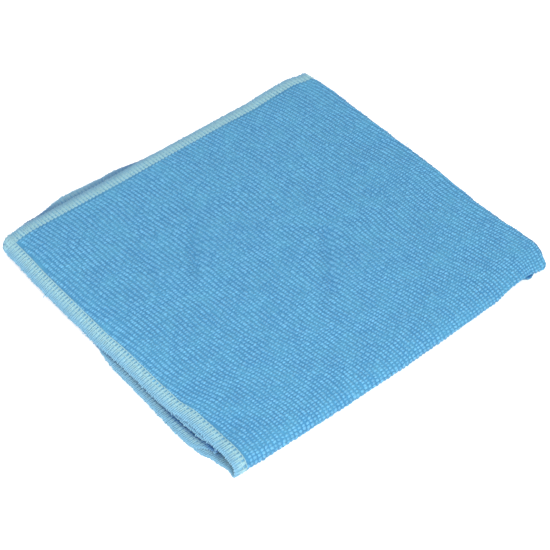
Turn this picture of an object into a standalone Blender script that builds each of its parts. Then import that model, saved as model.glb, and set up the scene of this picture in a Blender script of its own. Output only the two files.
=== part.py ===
"""A microfibre cloth, folded in quarters and lying flat on a table.

One sheet, in metres, +Z up. The sheet is folded in half once, which makes the fold along
+Y, and in half again, which makes the roll along +X. That leaves the hems open along -X
and -Y. From the table up the four layers are: bottom, lower inner, upper inner, top.
The bottom and top layers are joined by the roll along +X, and the two inner layers by the
tongue inside it. The origin is under the middle of the folded cloth, on the table.
"""

import math

import bmesh
import bpy
from mathutils import Matrix, Vector

# Driving dimensions, in metres.
FOLDED_X = 0.188  # from the open hems to the roll
FOLDED_Y = 0.205  # from the open hems to the first fold
THICKNESS = 0.0020  # of the knitted sheet
LEVEL_LEAST = 0.00276  # from one layer's middle to the next, at the hems and folds
LEVEL_LOFT = 0.00046  # how much more that is in the middle of the cloth
CORNER_RADIUS = 0.008  # of the cut sheet's corners

# The roll along +X, where the bottom layer turns up and becomes the top layer.
ROLL_LENGTH = 0.013  # how much of the cloth's width the turn takes
TONGUE_RADIUS = 0.0014  # of the inner layers' turn, along X
TONGUE_BACK_AT_HEM = 0.0145  # from the roll's outside back to the tongue, at the front hems
TONGUE_BACK_AT_FOLD = 0.0090  # the same at the first fold
TONGUE_OPENING = -0.12  # share of a level by which the tongue gapes at the front hems

# The first fold along +Y, where each pair of layers is joined.
EDGE_RADIUS = 0.0015  # of that turn, along Y

# Stations along an edge, as the share of the way from the open hem to the fold.
STATIONS = (0.00, 0.10, 0.22, 0.35, 0.47, 0.60, 0.75, 0.90, 1.00)

# How far each layer's front hem stands out past the nominal edge at those stations.
FRONT_HEM_OUT = {
    "bottom": (0.0000, 0.0010, 0.0008, 0.0008, 0.0006, 0.0020, 0.0024, 0.0016, -0.0008),
    "lower inner": (0.0006, 0.0018, 0.0018, 0.0016, 0.0018, 0.0046, 0.0042, 0.0042, 0.0036),
    "upper inner": (0.0004, 0.0008, 0.0010, 0.0006, 0.0008, 0.0014, 0.0020, 0.0022, 0.0022),
    "top": (0.0000, 0.0000, 0.0002, 0.0000, 0.0000, 0.0000, 0.0002, 0.0004, 0.0002),
}

# The same for each layer's left hem, from the front corner to the first fold.
LEFT_HEM_OUT = {
    "bottom": (-0.0012, -0.0004, 0.0006, 0.0004, 0.0000, -0.0006, -0.0014, -0.0010, -0.0012),
    "lower inner": (0.0000, 0.0012, 0.0026, 0.0020, 0.0004, -0.0010, -0.0018, -0.0012, -0.0012),
    "upper inner": (0.0010, 0.0034, 0.0060, 0.0040, 0.0012, 0.0002, -0.0002, -0.0002, -0.0004),
    "top": (0.0002, 0.0000, -0.0006, -0.0008, -0.0006, -0.0004, -0.0008, -0.0004, 0.0000),
}

# How far the first fold lies inside the nominal edge, at the stations from hem to roll.
FIRST_FOLD_IN = {
    "lower pair": (0.0040, 0.0032, 0.0030, 0.0032, 0.0034, 0.0032, 0.0030, 0.0022, 0.0012),
    "upper pair": (0.0018, 0.0012, 0.0014, 0.0014, 0.0012, 0.0012, 0.0028, 0.0020, 0.0004),
}

# How far the roll stands out past the nominal edge, from the front hems to the first fold.
ROLL_OUT = (0.0000, 0.0006, 0.0014, 0.0020, 0.0024, 0.0020, 0.0014, 0.0002, -0.0004)

# Where the grid's lines lie, as shares of the way across a layer.
FLAT_LINES = (0.0, 0.016, 0.042, 0.10, 0.18, 0.27, 0.36, 0.45, 0.54, 0.63, 0.72, 0.81, 0.90, 0.96)
ROLL_STEPS = 12
FIRST_FOLD_STEPS = 8

MICROFIBRE_BLUE = (0.119, 0.381, 0.631, 1.0)


def eased(values, share):
    """The value at a share of the way along the stations, eased from one to the next."""
    last = len(STATIONS) - 2
    span = min(last, sum(share > station for station in STATIONS[1:-1]))
    start, end = STATIONS[span], STATIONS[span + 1]
    part = min(1.0, max(0.0, (share - start) / (end - start)))
    ease = part * part * (3.0 - 2.0 * part)
    return values[span] + (values[span + 1] - values[span]) * ease


def mixed(low, high, share):
    return low + (high - low) * share


def by_layer(table, station, upper, inner):
    """A table's value for a point between the layers.

    upper runs from 0 below the roll to 1 above it, and inner from 0 on the outer half of
    the sheet to 1 on the half folded inside it.
    """
    outside = mixed(eased(table["bottom"], station), eased(table["top"], station), upper)
    inside = mixed(
        eased(table["lower inner"], station), eased(table["upper inner"], station), upper
    )
    return mixed(outside, inside, inner)


def level_height(x, y):
    """From one layer's middle to the next: least at the edges, more in the middle."""
    across = max(0.0, 1.0 - (2.0 * x / FOLDED_X) ** 2)
    along = max(0.0, 1.0 - (2.0 * y / FOLDED_Y) ** 2)
    swell = math.sin(27.0 * x + 14.0 * y + 0.6) * math.cos(31.0 * y - 9.0 * x)
    return LEVEL_LEAST + LEVEL_LOFT * (across * along) ** 0.5 * (0.85 + 0.15 * swell)


def rounded_corner(from_left, from_front):
    """Distances from the two hems, drawn in so that the sheet's corner is round."""
    left = 1.0 - from_left / CORNER_RADIUS
    front = 1.0 - from_front / CORNER_RADIUS
    if left <= 0.0 or front <= 0.0:
        return from_left, from_front
    return (
        CORNER_RADIUS * (1.0 - left * math.sqrt(1.0 - front * front / 2.0)),
        CORNER_RADIUS * (1.0 - front * math.sqrt(1.0 - left * left / 2.0)),
    )


def folded(across, roll_turn, along, edge_turn):
    """Where a point of the flat sheet lies once it is folded.

    across is the share of the way from the left hem to the roll, and roll_turn the angle
    turned round it: 0 below it, pi above it. along is the share of the way from the front
    hem to the first fold, and edge_turn the angle turned round that: 0 on the outer half
    of the sheet, pi on the inner half.
    """
    upper = (1.0 - math.cos(roll_turn)) / 2.0
    inner = (1.0 - math.cos(edge_turn)) / 2.0

    front = -FOLDED_Y / 2.0 - by_layer(FRONT_HEM_OUT, across, upper, inner)
    fold_in = mixed(
        eased(FIRST_FOLD_IN["lower pair"], across),
        eased(FIRST_FOLD_IN["upper pair"], across),
        upper,
    )
    edge_start = FOLDED_Y / 2.0 - fold_in - EDGE_RADIUS
    from_front = along * (edge_start - front)

    left = -FOLDED_X / 2.0 - by_layer(LEFT_HEM_OUT, along, upper, inner)
    roll_out = eased(ROLL_OUT, along)
    tongue_back = mixed(TONGUE_BACK_AT_HEM, TONGUE_BACK_AT_FOLD, along * along)
    turn_length = mixed(ROLL_LENGTH, TONGUE_RADIUS, inner)
    roll_start = FOLDED_X / 2.0 + roll_out - inner * tongue_back - turn_length
    from_left = across * (roll_start - left)

    from_left, from_front = rounded_corner(from_left, from_front)
    x = left + from_left + turn_length * math.sin(roll_turn)
    y = front + from_front + EDGE_RADIUS * math.sin(edge_turn)

    layer = 1.5 - (1.5 - inner) * math.cos(roll_turn)
    gape = TONGUE_OPENING * across**3 * (1.0 - along) ** 2
    layer += gape * math.sin(2.0 * math.pi * layer / 3.0)
    return Vector((x, y, THICKNESS / 2.0 + layer * level_height(x, y)))


def grid_lines(turn_steps):
    """(share, turn) of each grid line along the sheet: up one layer, round, and back."""
    flat = [(share, 0.0) for share in FLAT_LINES]
    turn = [(1.0, math.pi * step / turn_steps) for step in range(turn_steps + 1)]
    back = [(share, math.pi) for share in reversed(FLAT_LINES)]
    return flat + turn + back


def cloth_mesh():
    """The sheet's middle surface, as a flat grid whose points are then folded."""
    columns = grid_lines(ROLL_STEPS)
    rows = grid_lines(FIRST_FOLD_STEPS)
    sheet = bmesh.new()
    bmesh.ops.create_grid(
        sheet, x_segments=len(columns) - 1, y_segments=len(rows) - 1, size=1.0
    )
    for point in sheet.verts:
        column = round((point.co.x + 1.0) / 2.0 * (len(columns) - 1))
        row = round((point.co.y + 1.0) / 2.0 * (len(rows) - 1))
        point.co = folded(*columns[column], *rows[row])
    bmesh.ops.recalc_face_normals(sheet, faces=sheet.faces)
    mesh = bpy.data.meshes.new("cloth")
    sheet.to_mesh(mesh)
    sheet.free()
    mesh.shade_smooth()
    return mesh


def microfibre():
    material = bpy.data.materials.new("microfibre")
    material.use_nodes = True
    shader = material.node_tree.nodes["Principled BSDF"]
    shader.inputs["Base Color"].default_value = MICROFIBRE_BLUE
    shader.inputs["Roughness"].default_value = 0.9
    shader.inputs["Metallic"].default_value = 0.0
    material.diffuse_color = MICROFIBRE_BLUE
    return material


def centred(cloth):
    """Moves the mesh so that the thick sheet's box stands centred on the origin."""
    graph = bpy.context.evaluated_depsgraph_get()
    corners = [Vector(corner) for corner in cloth.evaluated_get(graph).bound_box]
    low, high = corners[0], corners[6]
    middle = (low + high) / 2.0
    cloth.data.transform(Matrix.Translation((-middle.x, -middle.y, 0.0)))


def main():
    for old in list(bpy.data.objects):
        bpy.data.objects.remove(old)
    folder = bpy.data.collections.new("folded microfibre cloth")
    bpy.context.scene.collection.children.link(folder)
    cloth = bpy.data.objects.new("cloth", cloth_mesh())
    folder.objects.link(cloth)
    cloth.data.materials.append(microfibre())
    thickness = cloth.modifiers.new("thickness", "SOLIDIFY")
    thickness.thickness = THICKNESS
    thickness.offset = 0.0
    thickness.use_even_offset = True
    centred(cloth)


main()
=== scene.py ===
"""The looks of a quarter-folded microfibre cloth.

The cloth is made the way a real one is. Its sheet, the knitted loops on its face and the
overlocked thread along its hems are all made flat, in the cut cloth's own coordinates:
u runs across it, v along it and w out of its face. fold() then lays each of them in the
quarter fold, whose shape follows the solid's and adds the finer folds and dents.
"""

import math

import bmesh
import bpy
import numpy as np
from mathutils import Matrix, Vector


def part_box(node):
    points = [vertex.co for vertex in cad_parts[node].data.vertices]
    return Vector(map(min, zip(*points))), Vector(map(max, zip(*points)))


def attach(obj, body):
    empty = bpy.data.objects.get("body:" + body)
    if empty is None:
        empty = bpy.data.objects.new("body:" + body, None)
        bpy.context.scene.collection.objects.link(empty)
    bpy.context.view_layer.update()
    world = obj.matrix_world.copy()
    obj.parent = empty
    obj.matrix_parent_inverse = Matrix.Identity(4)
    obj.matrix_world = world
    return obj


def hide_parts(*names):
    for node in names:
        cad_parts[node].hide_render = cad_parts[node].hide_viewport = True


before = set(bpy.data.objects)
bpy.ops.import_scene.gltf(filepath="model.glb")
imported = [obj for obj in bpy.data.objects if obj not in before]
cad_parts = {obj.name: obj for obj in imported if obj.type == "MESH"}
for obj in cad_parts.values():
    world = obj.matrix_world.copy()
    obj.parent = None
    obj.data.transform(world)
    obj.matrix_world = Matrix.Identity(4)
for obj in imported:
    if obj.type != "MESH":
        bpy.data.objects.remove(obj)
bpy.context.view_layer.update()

CAD_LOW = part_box("cloth")[0]

# ---------------------------------------------------------------- sizes, in metres

CUT = (0.381, 0.410)  # the flat cloth, across and along
FOLDED_X = 0.188
FOLDED_Y = 0.205
LAYER_THICKNESS = 0.0020  # of the solid's sheet, loops included
LEVEL_LEAST = 0.00276  # from one layer's middle to the next, at the edges
LEVEL_LOFT = 0.00046  # and how much more it is in the middle of the cloth
SWELL = 0.15  # the share of that loft which comes and goes in slow waves
GAPS = 3.0  # between the middles of the four layers
CORNER_RADIUS = 0.0062
CORNER_NEAREST = 1.3  # thread reaches a little past the edge, so nearness runs past 1
ROLL_LENGTH = 0.013
ROLL_ARC = 0.0290  # of cloth that goes round the roll
ROLL_STEPS = 181  # in which the length of that arc is measured
TONGUE_RADIUS = 0.0014
TONGUE_BACK_AT_HEM = 0.0160
TONGUE_BACK_AT_FOLD = 0.0090
TONGUE_OPENING = -0.38  # how far the inner layers part at the near corner, in layers
EDGE_RADIUS = 0.0015
PLACE = (0.0022, 0.0020, 0.0)  # of the nominal fold in the solid's frame
NORMAL_STEP = 0.0003  # along the cloth, to find which way its face looks

STATIONS = (0.00, 0.10, 0.22, 0.35, 0.47, 0.60, 0.70, 0.80, 0.88, 0.94, 1.00)
# How far each layer's hem stands out from the nominal line, in millimetres: the front
# hem from the left corner to the roll, and the left hem from front to back.
FRONT_HEM_OUT = {
    "bottom": (-1.5, -1.2, -1.2, -1.2, -0.4, 1.0, 1.2, 1.5, 2.3, 2.8, -0.1),
    "lower inner": (-1.2, -0.8, -0.8, -0.6, 1.2, 3.8, 4.0, 4.2, 4.5, 4.4, -2.0),
    "upper inner": (-0.6, 0.0, 0.2, 0.0, 0.0, 0.2, 0.4, 1.0, 0.4, -0.2, -1.9),
    "top": (2.0, 2.0, 2.5, 2.5, 2.4, 1.5, 1.7, 1.6, -0.6, -1.2, -1.7),
}
LEFT_HEM_OUT = {
    "bottom": (-1.0, 0.2, 1.0, 0.6, 0.2, -0.4, -0.9, -1.2, -0.8, -0.8, -1.0),
    "lower inner": (0.2, 2.7, 4.4, 3.8, 1.6, -0.2, -1.0, -1.3, -0.9, -0.8, -1.0),
    "upper inner": (0.4, 4.2, 8.6, 6.8, 3.2, 1.2, 0.6, 0.4, 0.6, 0.9, 0.2),
    "top": (0.2, 0.5, 0.2, 0.2, 0.4, 0.5, 0.5, 0.4, 1.2, 1.8, -0.2),
}
FIRST_FOLD_IN = {
    "lower pair": (5.0, 3.2, 3.0, 3.2, 3.4, 3.2, 3.1, 2.9, 2.4, 1.8, 1.2),
    "upper pair": (3.2, 1.2, 1.4, 1.4, 1.2, 1.2, 2.4, 2.7, 2.1, 1.3, 0.4),
}
ROLL_OUT = (-1.6, -0.5, 0.2, 0.7, 1.0, 0.8, 0.4, -0.2, -1.2, -1.5, -0.6)
# The share of its height that the stack loses at the front hem, where it lies flatter
FRONT_SINK = (0.44, 0.50, 0.54, 0.54, 0.50, 0.38, 0.28, 0.12, 0.06, 0.06, 0.06)
FRONT_SINK_REACH = 0.019
# A place where the inner layers lie lower at the left hem: its y, half its length, how
# far in from the hem it reaches, and the share of a layer that it sinks
LEFT_SINK_AT = -0.052
LEFT_SINK_HALF = 0.026
LEFT_SINK_REACH = 0.022
LEFT_SINK = 0.62

# Soft creases in the upper layers: where each starts and ends, its half width, and how
# far it sinks (or, if negative, stands up).
CREASES = (
    # name, start x, start y, end x, end y, half width, depth
    ("long trough", 0.0094, 0.0239, 0.0390, 0.0018, 0.0028, 0.00135),
    ("ridge beside it", 0.014, 0.030, 0.044, 0.008, 0.0042, -0.00065),
    ("short trough", -0.0378, -0.0241, -0.0118, -0.0421, 0.0025, 0.00125),
    ("ridge above it", -0.034, -0.016, -0.006, -0.035, 0.0040, -0.00055),
    ("dent by the roll", 0.072, -0.083, 0.076, -0.093, 0.0030, 0.00080),
    ("small dent", -0.0232, 0.0413, -0.0172, 0.0353, 0.0024, 0.00065),
    ("dip by the fold", -0.030, 0.083, -0.024, 0.090, 0.0060, 0.00075),
    ("faint trough", -0.040, -0.055, -0.024, -0.060, 0.0030, 0.00060),
)
CREASE_END = 0.6  # a crease fades this much more slowly past its ends than beside them
CREASE_SHADE = 80.0  # how much painted shade a trough gets, for each metre of its depth

# In what follows, a pair that ends in _OVER is where something starts and how long it
# takes to come in full, and one that ends in _ROUND is its middle and half width. Turns
# of the roll are in radians, from 0 underneath to pi on top.
BACK_CORNER_IN = 0.0042  # how far the corner by the roll is drawn in, in y
BACK_CORNER_OVER = (0.080, 0.016)  # the same in x and in y
BACK_CORNER_DROOP = 0.24  # the share of its height that the corner loses
DROOP_X_OVER = (0.070, 0.030)
DROOP_Y_OVER = (0.075, 0.032)
PINCH_DEPTH = 0.0030  # how far the roll's lower side is drawn in towards its back end
PINCH_TURN_ROUND = (1.15, 0.42)
PINCH_Y_OVER = (0.060, 0.022)
PINCH_LOSS = 0.8  # the share of the pinch that goes again at the very end
PINCH_LOSS_Y_OVER = (0.089, 0.012)
LIP_AT = 0.0898  # y of the lip that the bottom layer makes under the pinch
LIP_OUT = 0.0066
LIP_LIFT = 0.0006
LIP_TURN_ROUND = (0.5, 0.36)
LIP_Y_ROUND = (LIP_AT, 0.0066)
SLIT_DEPTH = 0.0080  # of the slit over the lip
SLIT_SINK = 0.0007
SLIT_TURN_ROUND = (0.98, 0.20)
SLIT_Y_ROUND = (LIP_AT, 0.0085)
ROLL_HEM_BACK = 0.0026  # how far the roll's front hem runs in where it passes under
ROLL_HEM_BACK_TURN_ROUND = (0.45, 0.45)
ROLL_HEM_OUT = 0.0004  # and how far it stands out again at the roll's nose
ROLL_HEM_OUT_TURN_ROUND = (1.7, 0.7)

# How deep a place lies, which sets the painted shade that darkens it between the layers and in
# the slit
UNDER_HEM_OVER = (-0.0004, 0.0024)  # in from the top layer's hem
MOUTH_X_ROUND = (0.060, 0.012)  # where the layers gape most at the front hem
MOUTH_DEPTH = 0.0018
ROLL_END_X_OVER = (0.0765, 0.006)  # where the roll's end closes over the layers inside it
ROLL_END_REACH = 0.012
ROLL_END_LIGHTER = 0.85
SHADED_BESIDE = 0.55  # how much painted shade the inner layers get where they pass the left hem
BESIDE_HEM_OVER = (-0.0070, 0.0030)
IN_SLIT_FROM_OVER = (0.61, 0.05)
IN_SLIT_TO_OVER = (1.20, 0.10)
IN_SLIT_Y_ROUND = (LIP_AT, 0.0095)

LEAST_HEIGHT = 0.00003  # nothing lies lower than this over the floor

SHEET_CORE = 0.0008  # the sheet's thickness between its two faces of loops
EDGE_IN = 0.0002  # how far the sheet's cut edge lies inside the thread that covers it

LOOP_PITCH = (0.00139, 0.00233)  # across and along
LOOP_SIZE = (0.00134, 0.00214, 0.00110)
LOOP_SUNK = 0.00010  # how far a loop's middle lies under the core's face
LOOPS_PAST_FOLD = 0.003
ROW_SKEW = 0.105  # how far the rows of loops run out of square with the hems

HEM_WIDTH = 0.0064
STITCH = 0.00215
THREAD_RADIUS = 0.00038
NEEDLE_RADIUS = 0.00022


# ---------------------------------------------------------------- the folded shape


def mixed(low, high, share):
    return low + (high - low) * share


def smooth(part):
    part = np.clip(part, 0.0, 1.0)
    return part * part * (3.0 - 2.0 * part)


def over(value, start, run):
    """From 0 at the start to 1 a run further on, smoothly."""
    return smooth((value - start) / run)


def round_about(value, middle, half_width):
    """1 in the middle, falling away to 0 on both sides."""
    return np.exp(-(((value - middle) / half_width) ** 2))


def eased(values, share, unit=0.001):
    """The values at shares of the way along the stations, eased from one to the next."""
    stations = np.array(STATIONS)
    values = np.array(values) * unit
    span = np.clip(np.searchsorted(stations, share) - 1, 0, len(stations) - 2)
    part = (share - stations[span]) / (stations[span + 1] - stations[span])
    return mixed(values[span], values[span + 1], smooth(part))


def by_layer(table, station, upper, inner):
    """A table's value at a station, turned from layer to layer by two shares."""
    outside = mixed(eased(table["bottom"], station), eased(table["top"], station), upper)
    inside = mixed(
        eased(table["lower inner"], station), eased(table["upper inner"], station), upper
    )
    return mixed(outside, inside, inner)


def crease_depth(x, y):
    """How far the creases push the upper layers down at each point."""
    depth = np.zeros_like(x)
    for _, start_x, start_y, end_x, end_y, half_width, sinks in CREASES:
        run_x, run_y = end_x - start_x, end_y - start_y
        length = math.hypot(run_x, run_y)
        along = ((x - start_x) * run_x + (y - start_y) * run_y) / length
        beside = ((x - start_x) * run_y - (y - start_y) * run_x) / length
        past_end = np.maximum(np.maximum(-along, along - length), 0.0)
        far = np.hypot(beside, past_end * CREASE_END) / half_width
        depth += sinks * np.exp(-far * far)
    return depth


def level_height(x, y):
    """The height from one layer's middle to the next, more in the middle of the cloth."""
    across = np.maximum(0.0, 1.0 - (2.0 * x / FOLDED_X) ** 2)
    along = np.maximum(0.0, 1.0 - (2.0 * y / FOLDED_Y) ** 2)
    swell = np.sin(27.0 * x + 14.0 * y + 0.6) * np.cos(31.0 * y - 9.0 * x)
    loft = LEVEL_LOFT * np.sqrt(across * along)
    return LEVEL_LEAST + loft * (1.0 - SWELL + SWELL * swell)


def ripple(x, y):
    """The top layer's slight unevenness: three waves, each of a height in metres, running
    so many radians a metre across x and y."""
    return (
        0.00013 * np.sin(170.0 * x + 60.0 * y + 0.8) * np.sin(120.0 * y - 40.0 * x + 0.3)
        + 0.00010 * np.sin(95.0 * x - 150.0 * y + 2.0)
        + 0.00006 * np.sin(330.0 * x + 210.0 * y) * np.sin(290.0 * y + 1.1)
    )


def roll_angles():
    """Shares of the arc round the outer roll, and the turn reached at each."""
    turn = np.linspace(0.0, math.pi, ROLL_STEPS)
    rise = GAPS / 2.0 * LEVEL_LEAST
    steps = np.hypot(
        np.diff(ROLL_LENGTH * np.sin(turn)), np.diff(rise * np.cos(turn))
    )
    arc = np.concatenate([[0.0], np.cumsum(steps)])
    return arc / arc[-1], turn


def turns(share, half_width):
    """For shares of the way across the flat cloth: the share of a layer, and how much of
    the turn in the middle has been made, from 0 to 1."""
    flat = 0.5 - half_width
    turned = np.clip((share - flat) / (2.0 * half_width), 0.0, 1.0)
    layer_share = np.where(share < 0.5, share, 1.0 - share) / flat
    return np.minimum(layer_share, 1.0), turned


def front_line(across, upper, inner, roll_turn):
    """y of the front hem of each layer, and round the outer roll."""
    line = -FOLDED_Y / 2.0 - by_layer(FRONT_HEM_OUT, across, upper, inner)
    outer_roll = np.sin(roll_turn) * (1.0 - inner)
    line += ROLL_HEM_BACK * outer_roll * round_about(roll_turn, *ROLL_HEM_BACK_TURN_ROUND)
    line -= ROLL_HEM_OUT * outer_roll * round_about(roll_turn, *ROLL_HEM_OUT_TURN_ROUND)
    return line


def corner_rounded(from_left, from_front):
    """The two distances from the hems, with the corner between the hems rounded."""
    near_left = np.clip(1.0 - from_left / CORNER_RADIUS, 0.0, CORNER_NEAREST)
    near_front = np.clip(1.0 - from_front / CORNER_RADIUS, 0.0, CORNER_NEAREST)
    further_left = CORNER_RADIUS * near_left * (1.0 - np.sqrt(1.0 - near_front**2 / 2.0))
    further_front = CORNER_RADIUS * near_front * (1.0 - np.sqrt(1.0 - near_left**2 / 2.0))
    return from_left + further_left, from_front + further_front


def layer_height(x, y, layer, droop, across, from_left, from_front):
    """z of the sheet's middle, for a layer from 0 at the bottom to 3 on top, and how far
    the creases have sunk it."""
    from_side = np.clip(1.0 - from_left / LEFT_SINK_REACH, 0.0, 1.0)
    slack = LEFT_SINK * from_side * round_about(y, LEFT_SINK_AT, LEFT_SINK_HALF)
    layer = layer - slack * np.sin(math.pi * np.clip(layer, 0.0, GAPS) / GAPS)
    from_hem = np.clip(1.0 - from_front / FRONT_SINK_REACH, 0.0, 1.0)
    sink = eased(FRONT_SINK, across, 1.0) * from_hem**2
    level = level_height(x, y) * (1.0 - BACK_CORNER_DROOP * droop) * (1.0 - sink)
    sunk = crease_depth(x, y) * (layer / GAPS) ** 2
    uneven = ripple(x, y) * (layer / GAPS) ** 2
    return LAYER_THICKNESS / 2.0 + layer * level + uneven - sunk, sunk


def painted_shade_in_stack(x, y, roll_turn, inner, upper, from_front):
    """The painted shade of a place, for how deep it lies under the hems above it and how far
    into the slit over the lip, and how far inside the top layer's outline, both from 0 to 1."""
    top_front = -FOLDED_Y / 2.0 - eased(
        FRONT_HEM_OUT["top"], np.clip((x + FOLDED_X / 2.0) / (FOLDED_X - ROLL_LENGTH), 0.0, 1.0)
    )
    top_left = -FOLDED_X / 2.0 - eased(
        LEFT_HEM_OUT["top"], np.clip((y + FOLDED_Y / 2.0) / FOLDED_Y, 0.0, 1.0)
    )
    mouth = MOUTH_DEPTH * (1.0 - upper) * round_about(x, *MOUTH_X_ROUND)
    under_front = over(y - top_front + mouth, *UNDER_HEM_OVER)
    under_left = over(x - top_left, *UNDER_HEM_OVER)
    at_roll_end = over(x, *ROLL_END_X_OVER) * (1.0 - over(from_front, 0.0, ROLL_END_REACH))
    inside = np.minimum(under_front, under_left) * (1.0 - ROLL_END_LIGHTER * at_roll_end)
    # The inner layers get painted shade under the top layer's hems, and some beside its left
    # hem
    beside = SHADED_BESIDE * over(x - top_left, *BESIDE_HEM_OVER)
    painted_shade = inner * np.minimum(under_front, np.maximum(under_left, beside))
    # Painted shade in the slit over the lip
    in_slit = over(roll_turn, *IN_SLIT_FROM_OVER) * (1.0 - over(roll_turn, *IN_SLIT_TO_OVER))
    in_slit = in_slit * round_about(y, *IN_SLIT_Y_ROUND) * (1.0 - inner)
    return np.maximum(painted_shade, in_slit), inside


def folded_sheet(u, v):
    """Where the middle of the folded sheet is, for points of the flat cloth, the painted
    shade each gets for how deep it lies, and how far inside the top layer's outline."""
    along, edge_turned = turns(v / CUT[1], math.pi * EDGE_RADIUS / 2.0 / CUT[1])
    edge_turn = math.pi * edge_turned
    inner = (1.0 - np.cos(edge_turn)) / 2.0

    half_arc = mixed(ROLL_ARC, math.pi * TONGUE_RADIUS, inner) / 2.0
    across, roll_turned = turns(u / CUT[0], half_arc / CUT[0])
    arc_share, arc_turn = roll_angles()
    outer_turn = np.interp(roll_turned, arc_share, arc_turn)
    roll_turn = mixed(outer_turn, math.pi * roll_turned, inner)
    upper = (1.0 - np.cos(roll_turn)) / 2.0

    front = front_line(across, upper, inner, roll_turn)
    fold_in = mixed(
        eased(FIRST_FOLD_IN["lower pair"], across),
        eased(FIRST_FOLD_IN["upper pair"], across),
        upper,
    )
    from_front = along * (FOLDED_Y / 2.0 - fold_in - EDGE_RADIUS - front)

    left = -FOLDED_X / 2.0 - by_layer(LEFT_HEM_OUT, along, upper, inner)
    tongue_back = mixed(TONGUE_BACK_AT_HEM, TONGUE_BACK_AT_FOLD, along * along)
    turn_length = mixed(ROLL_LENGTH, TONGUE_RADIUS, inner)
    roll_start = FOLDED_X / 2.0 + eased(ROLL_OUT, along) - inner * tongue_back - turn_length
    from_left = across * (roll_start - left)
    from_left, from_front = corner_rounded(from_left, from_front)
    x = left + from_left + turn_length * np.sin(roll_turn)
    y = front + from_front + EDGE_RADIUS * np.sin(edge_turn)

    pinch = over(y, *PINCH_Y_OVER) * (1.0 - PINCH_LOSS * over(y, *PINCH_LOSS_Y_OVER))
    pinch = pinch * round_about(roll_turn, *PINCH_TURN_ROUND)
    lip = round_about(roll_turn, *LIP_TURN_ROUND) * round_about(y, *LIP_Y_ROUND)
    slit = round_about(roll_turn, *SLIT_TURN_ROUND) * round_about(y, *SLIT_Y_ROUND)
    x = x + (LIP_OUT * lip - PINCH_DEPTH * pinch - SLIT_DEPTH * slit) * (1.0 - inner)
    droop = over(x, *DROOP_X_OVER) * over(y, *DROOP_Y_OVER)
    y = y - BACK_CORNER_IN * over(x, *BACK_CORNER_OVER) * over(y, *BACK_CORNER_OVER)

    layer = GAPS / 2.0 - (GAPS / 2.0 - inner) * np.cos(roll_turn)
    gape = TONGUE_OPENING * np.clip(across, 0.0, 1.0) ** 3 * (1.0 - along) ** 2
    layer = layer + gape * np.sin(2.0 * math.pi * layer / GAPS)
    z, sunk = layer_height(x, y, layer, droop, across, from_left, from_front)
    z = z + (LIP_LIFT * lip - SLIT_SINK * slit) * (1.0 - inner)

    painted_shade, inside = painted_shade_in_stack(x, y, roll_turn, inner, upper, from_front)
    # Painted shade in the bottoms of the creases
    painted_shade = np.maximum(painted_shade, CREASE_SHADE * np.maximum(sunk, 0.0))
    return np.stack([x, y, z], axis=-1), painted_shade, inside


def fold(flat):
    """Lays points of the flat cloth, (u, v, w) in rows, in the quarter fold. It also gives
    the painted shade of each, darker the deeper it lies between the layers."""
    u, v, w = flat.T
    here, painted_shade, inside = folded_sheet(u, v)
    across = folded_sheet(u + NORMAL_STEP, v)[0] - folded_sheet(u - NORMAL_STEP, v)[0]
    along = folded_sheet(u, v + NORMAL_STEP)[0] - folded_sheet(u, v - NORMAL_STEP)[0]
    out = np.cross(along, across)
    out /= np.linalg.norm(out, axis=1, keepdims=True)
    folded = here + out * w[:, None] + np.array(PLACE)
    folded[:, 2] = np.maximum(folded[:, 2], LEAST_HEIGHT)
    # The back of the sheet looks into the fold, so it gets painted shade wherever it is covered
    return folded, np.where(w < 0.0, np.maximum(painted_shade, inside), painted_shade)


# ---------------------------------------------------------------- making pieces


def points_of(mesh):
    points = np.empty(len(mesh.vertices) * 3)
    mesh.vertices.foreach_get("co", points)
    return points.reshape(-1, 3)


UV_PER_METRE = 10.0


def flat_map(mesh, flat):
    """A UV map that holds each point's place on the flat cloth, in tenths of a metre."""
    layer = mesh.uv_layers.new(name="flat cloth")
    corners = np.empty(len(mesh.loops), np.int32)
    mesh.loops.foreach_get("vertex_index", corners)
    layer.data.foreach_set("uv", (flat[corners, :2] * UV_PER_METRE).astype(np.float32).ravel())


def note(mesh, name, values):
    """Keeps a number for each point, for the materials to read."""
    attribute = mesh.attributes.new(name, "FLOAT", "POINT")
    attribute.data.foreach_set("value", values.astype(np.float32))


def lay(mesh, flat):
    """Folds a mesh that was made flat."""
    flat_map(mesh, flat)
    folded, painted_shade = fold(flat)
    # Painted shade, kept for the materials to darken the colour by
    note(mesh, "painted_shade", painted_shade)
    mesh.vertices.foreach_set("co", folded.astype(np.float32).ravel())
    mesh.flip_normals()  # the fold mirrors the flat cloth's own directions
    mesh.update()
    mesh.shade_smooth()


def new_object(name, mesh, material):
    piece = bpy.data.objects.new(name, mesh)
    bpy.context.scene.collection.objects.link(piece)
    mesh.materials.clear()
    mesh.materials.append(material)
    return piece


def made_real(piece):
    """The piece's mesh with its modifiers applied. The piece itself is removed."""
    graph = bpy.context.evaluated_depsgraph_get()
    mesh = bpy.data.meshes.new_from_object(piece.evaluated_get(graph), depsgraph=graph)
    bpy.data.objects.remove(piece)
    return mesh


# ---------------------------------------------------------------- the sheet

HEM_GRID = 0.009  # how far in from each hem the sheet's grid lines are close
HEM_STEP = 0.0015
FLAT_STEP = 0.0030
ROLL_GRID = (0.019, 0.0007)  # half of what the roll takes, and the step there
FIRST_FOLD_GRID = (0.005, 0.0005)
# The sheet's place on the knit's colours, close to the painted shade of the pits between the
# loops
SHEET_SHADE = 0.30
PALE_FROM_EDGE_OVER = (-0.0066, 0.0012)  # the sheet is thread coloured under the hem


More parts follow.
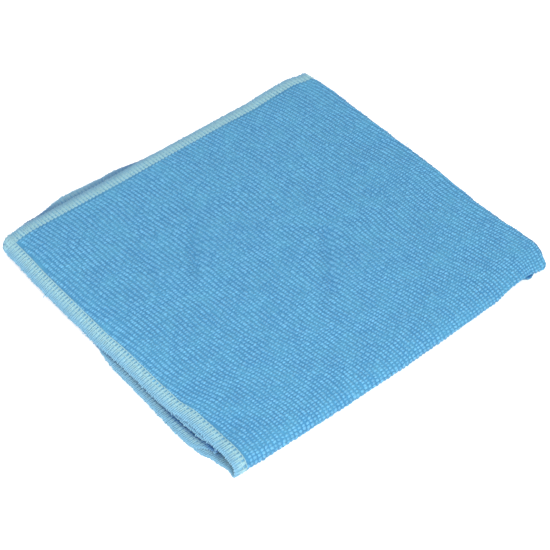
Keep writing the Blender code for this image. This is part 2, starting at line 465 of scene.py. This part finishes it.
def lines(length, fold_half, fold_step):
    """Grid lines along one side of the flat cloth: close at the hems and the fold."""
    half = length / 2.0
    hem = np.arange(EDGE_IN, HEM_GRID, HEM_STEP)
    flat_end = half - fold_half
    flat = np.linspace(HEM_GRID, flat_end, round((flat_end - HEM_GRID) / FLAT_STEP))
    turn = np.linspace(flat_end, half, round(fold_half / fold_step) + 1)[1:]
    first = np.concatenate([hem, flat, turn])
    both = np.concatenate([first, length - first[-2::-1]])
    return np.clip(both, EDGE_IN, length - EDGE_IN)


def make_sheet(material):
    """The cloth itself, under its loops and its hem thread."""
    columns = lines(CUT[0], *ROLL_GRID)
    rows = lines(CUT[1], *FIRST_FOLD_GRID)
    sheet = bmesh.new()
    bmesh.ops.create_grid(
        sheet, x_segments=len(columns) - 1, y_segments=len(rows) - 1, size=1.0
    )
    mesh = bpy.data.meshes.new("cloth_sheet")
    sheet.to_mesh(mesh)
    sheet.free()
    places = (points_of(mesh) + 1.0) / 2.0
    flat = np.zeros_like(places)
    flat[:, 0] = columns[np.rint(places[:, 0] * (len(columns) - 1)).astype(int)]
    flat[:, 1] = rows[np.rint(places[:, 1] * (len(rows) - 1)).astype(int)]
    note(mesh, "shade", np.full(len(flat), SHEET_SHADE))
    from_edge = np.minimum(
        np.minimum(flat[:, 0], CUT[0] - flat[:, 0]), np.minimum(flat[:, 1], CUT[1] - flat[:, 1])
    )
    note(mesh, "under the hem", over(-from_edge, *PALE_FROM_EDGE_OVER))
    lay(mesh, flat)
    piece = new_object("cloth_sheet", mesh, material)
    thickness = piece.modifiers.new("thickness", "SOLIDIFY")
    thickness.thickness = SHEET_CORE
    thickness.offset = 0.0
    return piece


# ---------------------------------------------------------------- the knitted loops

# How much the loops differ from each other: turn in radians, size as a share, then
# height and place in metres
TURN_SPREAD = 0.16
SIZE_SPREAD = 0.10
SIZE_LIMITS = (0.75, 1.3)
LIFT_SPREAD = 0.00007
NUDGE_SPREAD = 0.00010
TIP_SHARE = 0.75  # of a loop's colour that is painted shade from its height, darker at its foot, the rest being tone at random
LOOP_SEED = 11


def wander(u, v):
    """How far the knit's rows and columns stray from straight lines, as slow waves of
    under a millimetre."""
    across = 0.00035 * np.sin(60.0 * v + 1.0) + 0.00030 * np.sin(35.0 * u - 48.0 * v)
    along = (
        0.00090 * np.sin(38.0 * u + 9.0 * v + 0.5)
        + 0.00045 * np.sin(88.0 * u - 37.0 * v + 1.9)
        + 0.00020 * np.sin(210.0 * u + 130.0 * v)
    )
    return across, along


def make_loops(name, first_u, last_u, material, seed):
    """A field of knitted loops on the cloth's face, between two places across it."""
    loop = bmesh.new()
    bmesh.ops.create_icosphere(loop, subdivisions=1, radius=0.5)
    bmesh.ops.scale(loop, vec=LOOP_SIZE, verts=loop.verts)
    mesh = bpy.data.meshes.new(name)
    loop.to_mesh(mesh)
    per_loop = len(loop.verts)
    loop.free()
    columns = round((last_u - first_u) / LOOP_PITCH[0])
    rows = int((CUT[1] / 2.0 + LOOPS_PAST_FOLD - HEM_WIDTH) / LOOP_PITCH[1])
    one = bpy.data.objects.new(name, mesh)
    bpy.context.scene.collection.objects.link(one)
    for label, count, offset in (
        ("columns", columns, (LOOP_PITCH[0], 0.0, 0.0)),
        ("rows", rows, (0.0, LOOP_PITCH[1], 0.0)),
    ):
        array = one.modifiers.new(label, "ARRAY")
        array.count = count
        array.use_relative_offset = False
        array.use_constant_offset = True
        array.constant_offset_displace = offset
    mesh = made_real(one)

    number = np.arange(columns * rows)
    centre_u = (number % columns) * LOOP_PITCH[0]
    centre_v = (number // columns) * LOOP_PITCH[1]
    skewed = centre_v - ROW_SKEW * (first_u + centre_u - CUT[0] / 2.0)
    skewed = np.mod(skewed, rows * LOOP_PITCH[1])
    chance = np.random.default_rng(seed)
    turn = chance.normal(0.0, TURN_SPREAD, number.size)
    size = chance.normal(1.0, SIZE_SPREAD, number.size).clip(*SIZE_LIMITS)
    lift = chance.normal(0.0, LIFT_SPREAD, number.size)
    nudge = chance.normal(0.0, NUDGE_SPREAD, (number.size, 2))
    shade = chance.uniform(0.0, 1.0, number.size)

    owner = np.repeat(number, per_loop)
    local = points_of(mesh)
    local[:, 0] -= centre_u[owner]
    local[:, 1] -= centre_v[owner]
    cos, sin = np.cos(turn[owner]), np.sin(turn[owner])
    grown = size[owner]
    flat = np.empty_like(local)
    flat[:, 0] = (local[:, 0] * cos - local[:, 1] * sin) * grown
    flat[:, 1] = (local[:, 0] * sin + local[:, 1] * cos) * grown
    place_u = first_u + (centre_u + nudge[:, 0])[owner]
    place_v = HEM_WIDTH + (skewed + nudge[:, 1])[owner]
    stray_u, stray_v = wander(place_u, place_v)
    flat[:, 0] += place_u + stray_u
    flat[:, 1] += place_v + stray_v
    flat[:, 2] = SHEET_CORE / 2.0 - LOOP_SUNK + local[:, 2] * grown + lift[owner]
    tip = np.clip(local[:, 2] / LOOP_SIZE[2] + 0.5, 0.0, 1.0)
    # Painted shade, darker towards each loop's foot, mixed with tone at random
    note(mesh, "shade", TIP_SHARE * tip + (1.0 - TIP_SHARE) * shade[owner])
    lay(mesh, flat)
    return new_object(name, mesh, material)


# ---------------------------------------------------------------- the overlocked hem

# One turn of the looper thread round the edge, from the needle's hole and back:
# how far inside the edge it is, and how high over the sheet's middle.
LOOPER_TURN = (
    (0.0062, 0.00020),
    (0.0059, 0.00054),
    (0.0042, 0.00060),
    (0.0024, 0.00060),
    (0.0008, 0.00056),
    (-0.0001, 0.00036),
    (-0.0003, 0.00000),
    (-0.0001, -0.00036),
    (0.0008, -0.00056),
    (0.0024, -0.00060),
    (0.0042, -0.00060),
    (0.0059, -0.00054),
    (0.0062, -0.00020),
)
# One stitch of the needle thread: share of the stitch, and height over the middle
NEEDLE_STITCH = (
    (0.06, 0.00040),
    (0.22, 0.00085),
    (0.50, 0.00100),
    (0.78, 0.00085),
    (0.94, 0.00040),
)
NEEDLE_LINES = (0.0061, 0.0040)  # how far inside the edge each needle thread runs
UNDER_FROM = 7  # the first row of LOOPER_TURN that lies under the cloth
HOLE_APART = 0.0004  # between the thread's way in and its way out at a needle hole
LOOPER_WOBBLE = (0.00009, 0.00016, 0.00003)  # along the edge, inside it, and in height
PALE_INSIDE_OVER = (0.0012, 0.0022)  # the thread is paler away from the edge
HEM_SEED = 31


def tube(name, path, radius, sides_resolution):
    """A thread along a path of points, as a mesh of 4 sides, or 6 at resolution 1."""
    curve = bpy.data.curves.new(name, "CURVE")
    curve.dimensions = "3D"
    curve.bevel_depth = radius
    curve.bevel_resolution = sides_resolution
    curve.use_fill_caps = True
    spline = curve.splines.new("POLY")
    spline.points.add(len(path) - 1)
    path = np.asarray(path)
    spline.points.foreach_set(
        "co", np.column_stack([path, np.ones(len(path))]).astype(np.float32).ravel()
    )
    thread = bpy.data.objects.new(name, curve)
    bpy.context.scene.collection.objects.link(thread)
    mesh = made_real(thread)
    bpy.data.curves.remove(curve)
    return mesh


def joined(name, parts):
    """One mesh of several, which are removed."""
    whole = bmesh.new()
    for part in parts:
        whole.from_mesh(part)
        bpy.data.meshes.remove(part)
    mesh = bpy.data.meshes.new(name)
    whole.to_mesh(mesh)
    whole.free()
    return mesh


def looper_path(length, chance):
    """(along the edge, inside it, height) of the looper thread along one side."""
    turns_made = int(length / (STITCH / 2.0))
    path = []
    for turn in range(turns_made):
        hole = (turn // 2 + 0.5) * STITCH + (turn % 2 - 0.5) * HOLE_APART
        at_edge = (turn + 0.5) * STITCH / 2.0
        wobble = chance.normal(0.0, 1.0, 3) * LOOPER_WOBBLE
        for step, (inside, height) in enumerate(LOOPER_TURN):
            near_edge = 1.0 - max(inside, 0.0) / HEM_WIDTH
            way_in = hole + (STITCH / 4.0 if step >= UNDER_FROM else 0.0)
            along = mixed(way_in, at_edge, near_edge)
            path.append((along + wobble[0], inside + wobble[1] * near_edge, height + wobble[2]))
    return np.array(path)


def needle_path(length, inside):
    """The needle thread: a run of stitches along the edge, dipping at each hole."""
    path = []
    for stitch in range(int(length / STITCH)):
        start = (stitch + 0.5) * STITCH
        for share, height in NEEDLE_STITCH:
            path.append((start + share * STITCH, inside, height))
    return np.array(path)


def on_side(side, path):
    """Places a path given along and inside an edge on one side of the flat cloth."""
    along, inside, height = path.T
    inside = inside + EDGE_IN
    if side == "left below":
        return np.stack([inside, along, height], axis=1)
    if side == "left above":
        return np.stack([CUT[0] - inside, along, height], axis=1)
    if side == "front outer":
        return np.stack([along, inside, height], axis=1)
    return np.stack([along, CUT[1] - inside, height], axis=1)


SIDES = (
    # piece, side of the flat cloth, which of CUT is its length
    ("hem_left_below", "left below", 1),
    ("hem_left_above", "left above", 1),
    ("hem_front_outer", "front outer", 0),
    ("hem_front_inner", "front inner", 0),
)


def make_hem(name, side, length, material, seed):
    """The thread of the hem along one side of the cloth."""
    chance = np.random.default_rng(seed)
    parts = [tube(name, on_side(side, looper_path(length, chance)), THREAD_RADIUS, 1)]
    for inside in NEEDLE_LINES:
        parts.append(tube(name, on_side(side, needle_path(length, inside)), NEEDLE_RADIUS, 0))
    mesh = joined(name, parts)
    flat = points_of(mesh)
    edge = {
        "left below": flat[:, 0],
        "left above": CUT[0] - flat[:, 0],
        "front outer": flat[:, 1],
        "front inner": CUT[1] - flat[:, 1],
    }[side]
    note(mesh, "shade", over(edge, *PALE_INSIDE_OVER))
    lay(mesh, flat)
    return new_object(name, mesh, material)


# ---------------------------------------------------------------- loose ends of thread

# Each runs through these places on the flat cloth: across it, along it, and height.
LOOSE_ENDS = (
    ((0.3785, 0.0020, 0.0003), (0.3820, -0.0010, 0.0002), (0.3846, -0.0012, -0.0006)),
    ((0.3790, 0.0016, -0.0003), (0.3826, -0.0020, -0.0008), (0.3836, -0.0036, -0.0016)),
    ((0.3380, 0.0004, -0.0003), (0.3384, -0.0011, -0.0008), (0.3378, -0.0019, -0.0016)),
    ((0.3040, 0.0004, 0.0002), (0.3036, -0.0010, 0.0004), (0.3042, -0.0017, 0.0010)),
    ((0.3805, 0.0660, 0.0004), (0.3822, 0.0664, 0.0010), (0.3829, 0.0672, 0.0017)),
    ((0.2990, 0.2035, 0.0008), (0.2992, 0.2045, 0.0022), (0.2985, 0.2050, 0.0030)),
)
LOOSE_RADIUS = 0.00015
LOOSE_POINTS = 9


def make_loose_ends(material):
    """Short curved ends of hem thread that stick out at the hems and the first fold."""
    parts = []
    share = np.linspace(0.0, 1.0, LOOSE_POINTS)[:, None]
    for start, middle, end in np.array(LOOSE_ENDS):
        path = start * (1 - share) ** 2 + middle * 2 * share * (1 - share) + end * share**2
        parts.append(tube("loose_ends", path, LOOSE_RADIUS, 0))
    mesh = joined("loose_ends", parts)
    flat = points_of(mesh)
    note(mesh, "shade", np.zeros(len(flat)))
    lay(mesh, flat)
    return new_object("loose_ends", mesh, material)


# ---------------------------------------------------------------- materials

# Colours, as linear red, green and blue
KNIT_PAINTED_SHADE = (0.006, 0.083, 0.187)  # painted shade down between the loops
KNIT_HIGH = (0.108, 0.306, 0.480)  # on their tips
KNIT_TEAL = (0.072, 0.260, 0.362)  # in soft blotches
UNDER_HEM = (0.118, 0.272, 0.380)
THREAD_AT_EDGE = (0.128, 0.274, 0.384)
THREAD_INSIDE = (0.200, 0.348, 0.394)
# Painted shade between the layers: what the colour is multiplied by where it is deepest
PAINTED_SHADE_TINT = (0.08, 0.27, 0.60)
KNIT_SHEEN_TINT = (0.55, 0.80, 1.0)
THREAD_SHEEN_TINT = (0.85, 0.95, 1.0)
FLOOR_WHITE = (0.93, 0.93, 0.93)

# How fine each noise is, in features for each tenth of a metre of cloth: the soft
# blotches, the specks, the fibres, the thread's flecks and the twist of its ply
MOTTLE_SCALE = 9.0
FINE_SCALE = 75.0
FIBRE_SCALE = 330.0
FLECK_SCALE = 90.0
PLY_SCALE = 420.0
BAND_TURNS = 20.0  # how many radians a band texture of scale 1 runs for each unit
FIBRE_SHARE = 0.7  # of the fibres in the fine relief, where the ribs count 1


def node(tree, kind, settings=None, **inputs):
    """A new node, its inputs set to a number or linked to another node's output."""
    made = tree.nodes.new(kind)
    for name, value in (settings or {}).items():
        setattr(made, name, value)
    for name, value in inputs.items():
        socket = made.inputs[name.replace("_", " ")]
        if isinstance(value, bpy.types.NodeSocket):
            tree.links.new(value, socket)
        else:
            socket.default_value = value
    return made


def fabric(name, roughness, sheen, sheen_tint):
    material = bpy.data.materials.new(name)
    material.use_nodes = True
    shader = material.node_tree.nodes["Principled BSDF"]
    shader.inputs["Roughness"].default_value = roughness
    shader.inputs["Specular IOR Level"].default_value = 0.15
    shader.inputs["Sheen Weight"].default_value = sheen
    shader.inputs["Sheen Roughness"].default_value = 0.45
    shader.inputs["Sheen Tint"].default_value = (*sheen_tint, 1.0)
    return material, material.node_tree, shader


def cloth_place(tree):
    return node(tree, "ShaderNodeUVMap", {"uv_map": "flat cloth"}).outputs["UV"]


def noted(tree, name):
    """The number that note() kept for each point."""
    return node(tree, "ShaderNodeAttribute", {"attribute_name": name}).outputs["Fac"]


def two_tone(tree, factor, low, high):
    ramp = node(tree, "ShaderNodeValToRGB", Fac=factor)
    ramp.color_ramp.elements[0].color = (*low, 1.0)
    ramp.color_ramp.elements[1].color = (*high, 1.0)
    return ramp.outputs["Color"]


def turned(tree, factor, colour, towards, blend_type="MIX"):
    """The colour, turned towards a fixed one by a factor."""
    mix = node(tree, "ShaderNodeMix", {"data_type": "RGBA", "blend_type": blend_type})
    tree.links.new(factor, mix.inputs["Factor"])
    tree.links.new(colour, mix.inputs["A"])
    mix.inputs["B"].default_value = (*towards, 1.0)
    return mix.outputs["Result"]


def ranged(tree, value, given, wanted):
    """The value, stretched from the range it is given in to the one wanted."""
    stretch = node(tree, "ShaderNodeMapRange", Value=value)
    for name, limit in zip(("From Min", "From Max", "To Min", "To Max"), (*given, *wanted)):
        stretch.inputs[name].default_value = limit
    return stretch.outputs["Result"]


def varied(tree, colour, noise, darkest, lightest):
    """The colour, darker and lighter from place to place."""
    level = ranged(tree, noise.outputs["Fac"], (0.3, 0.7), (darkest, lightest))
    return node(tree, "ShaderNodeHueSaturation", Color=colour, Value=level).outputs["Color"]


def with_painted_shade(tree, colour):
    """The colour with painted shade: darker and bluer where it lies deep between the layers."""
    return turned(tree, noted(tree, "painted_shade"), colour, PAINTED_SHADE_TINT, "MULTIPLY")


def bumped(tree, shader, height, strength, distance):
    bump = node(tree, "ShaderNodeBump", Height=height, Strength=strength, Distance=distance)
    tree.links.new(bump.outputs["Normal"], shader.inputs["Normal"])


def microfibre():
    material, tree, shader = fabric("microfibre knit", 0.92, 0.20, KNIT_SHEEN_TINT)
    place = cloth_place(tree)
    mottle = node(
        tree, "ShaderNodeTexNoise", Vector=place, Scale=MOTTLE_SCALE, Detail=5.0, Roughness=0.62
    )
    fine = node(
        tree, "ShaderNodeTexNoise", Vector=place, Scale=FINE_SCALE, Detail=3.0, Roughness=0.6
    )
    # Painted shade at the loops' feet and on the sheet, lighter towards the tips
    base = two_tone(tree, noted(tree, "shade"), KNIT_PAINTED_SHADE, KNIT_HIGH)
    blotches = ranged(tree, mottle.outputs["Fac"], (0.42, 0.72), (0.0, 0.38))
    teal = turned(tree, blotches, base, KNIT_TEAL)
    pale = turned(tree, noted(tree, "under the hem"), teal, UNDER_HEM)
    colour = varied(tree, pale, fine, 0.90, 1.10)
    tree.links.new(with_painted_shade(tree, colour), shader.inputs["Base Color"])
    # One band for each row of loops
    ribs = node(
        tree,
        "ShaderNodeTexWave",
        {"wave_type": "BANDS", "bands_direction": "Y"},
        Vector=place,
        Scale=2.0 * math.pi / (LOOP_PITCH[1] * UV_PER_METRE) / BAND_TURNS,
        Distortion=0.6,
        Detail=2.0,
        Detail_Scale=1.5,
    )
    fibres = node(tree, "ShaderNodeTexNoise", Vector=place, Scale=FIBRE_SCALE, Detail=3.0)
    heights = node(tree, "ShaderNodeMath", {"operation": "MULTIPLY_ADD"})
    tree.links.new(fibres.outputs["Fac"], heights.inputs[0])
    heights.inputs[1].default_value = FIBRE_SHARE
    tree.links.new(ribs.outputs["Fac"], heights.inputs[2])
    bumped(tree, shader, heights.outputs["Value"], 0.35, 0.00035)
    return material


def hem_thread():
    material, tree, shader = fabric("hem thread", 0.85, 0.20, THREAD_SHEEN_TINT)
    place = cloth_place(tree)
    fleck = node(tree, "ShaderNodeTexNoise", Vector=place, Scale=FLECK_SCALE, Detail=3.0)
    base = two_tone(tree, noted(tree, "shade"), THREAD_AT_EDGE, THREAD_INSIDE)
    colour = varied(tree, base, fleck, 0.86, 1.12)
    tree.links.new(with_painted_shade(tree, colour), shader.inputs["Base Color"])
    ply = node(tree, "ShaderNodeTexNoise", Vector=place, Scale=PLY_SCALE, Detail=2.0)
    bumped(tree, shader, ply.outputs["Fac"], 0.4, 0.0002)
    return material


def floor_paint():
    material = bpy.data.materials.new("pale floor")
    material.use_nodes = True
    shader = material.node_tree.nodes["Principled BSDF"]
    shader.inputs["Base Color"].default_value = (*FLOOR_WHITE, 1.0)
    shader.inputs["Roughness"].default_value = 0.9
    shader.inputs["Specular IOR Level"].default_value = 0.1
    return material


# ---------------------------------------------------------------- the studio

CAMERA_AZIMUTH = 50.02
CAMERA_ELEVATION = 47.02
CAMERA_DISTANCE = 0.7941
CAMERA_AIM = (0.00956, -0.00529, 0.0)
CAMERA_LENS = 103.63
LIGHTS = (
    # name, azimuth, elevation, distance, side of its square, power
    ("key light", 62.0, 42.0, 1.1, 0.6, 15.0),
    ("fill light", 0.0, 32.0, 1.7, 1.2, 12.0),
    ("top light", 160.0, 75.0, 1.6, 1.4, 8.0),
)
ROOM_STRENGTH = 0.80  # of the white light from all round
FLOOR_HALF = 3.0
FLOOR_GAP = 0.0001  # between the floor and what lies on it


def toward(azimuth, elevation):
    """The direction from the cloth to something seen at these angles, in degrees."""
    a, e = math.radians(azimuth), math.radians(elevation)
    return Vector((math.sin(a) * math.cos(e), -math.cos(a) * math.cos(e), math.sin(e)))


def make_camera(scene):
    camera = bpy.data.objects.new("camera", bpy.data.cameras.new("camera"))
    scene.collection.objects.link(camera)
    back = toward(CAMERA_AZIMUTH, CAMERA_ELEVATION)
    camera.location = Vector(CAMERA_AIM) + back * CAMERA_DISTANCE
    camera.rotation_mode = "QUATERNION"
    camera.rotation_quaternion = (-back).to_track_quat("-Z", "Y")
    camera.data.lens = CAMERA_LENS
    camera.data.clip_start = 0.01
    scene.camera = camera


def make_lights(scene):
    for name, azimuth, elevation, distance, side, power in LIGHTS:
        light = bpy.data.lights.new(name, "AREA")
        light.shape = "SQUARE"
        light.size = side
        light.energy = power
        lamp = bpy.data.objects.new(name, light)
        scene.collection.objects.link(lamp)
        direction = toward(azimuth, elevation)
        lamp.location = direction * distance
        lamp.rotation_mode = "QUATERNION"
        lamp.rotation_quaternion = direction.to_track_quat("Z", "Y")
    world = bpy.data.worlds.new("soft room")
    world.use_nodes = True
    background = world.node_tree.nodes["Background"]
    background.inputs["Color"].default_value = (1.0, 1.0, 1.0, 1.0)
    background.inputs["Strength"].default_value = ROOM_STRENGTH
    scene.world = world
    scene.view_settings.view_transform = "Standard"


def make_floor():
    ground = bmesh.new()
    bmesh.ops.create_grid(ground, x_segments=1, y_segments=1, size=FLOOR_HALF)
    bmesh.ops.translate(ground, verts=ground.verts, vec=(0.0, 0.0, CAD_LOW.z - FLOOR_GAP))
    mesh = bpy.data.meshes.new("floor")
    ground.to_mesh(mesh)
    ground.free()
    new_object("floor", mesh, floor_paint())


# ---------------------------------------------------------------- putting it together


def main():
    knit = microfibre()
    thread = hem_thread()
    sheet = make_sheet(knit)
    names = ("knit_under_hem", "knit_under_roll", "knit_top_roll", "knit_top_hem")
    strip_ends = np.linspace(HEM_WIDTH, CUT[0] - HEM_WIDTH, len(names) + 1)
    pieces = [
        make_loops(name, strip_ends[i], strip_ends[i + 1], knit, LOOP_SEED + i)
        for i, name in enumerate(names)
    ]
    pieces += [
        make_hem(name, side, CUT[which], thread, HEM_SEED + i)
        for i, (name, side, which) in enumerate(SIDES)
    ]
    pieces.append(make_loose_ends(thread))
    for piece in [sheet, *pieces]:
        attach(piece, "root")
    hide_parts("cloth")
    make_camera(bpy.context.scene)
    make_lights(bpy.context.scene)
    make_floor()


main()
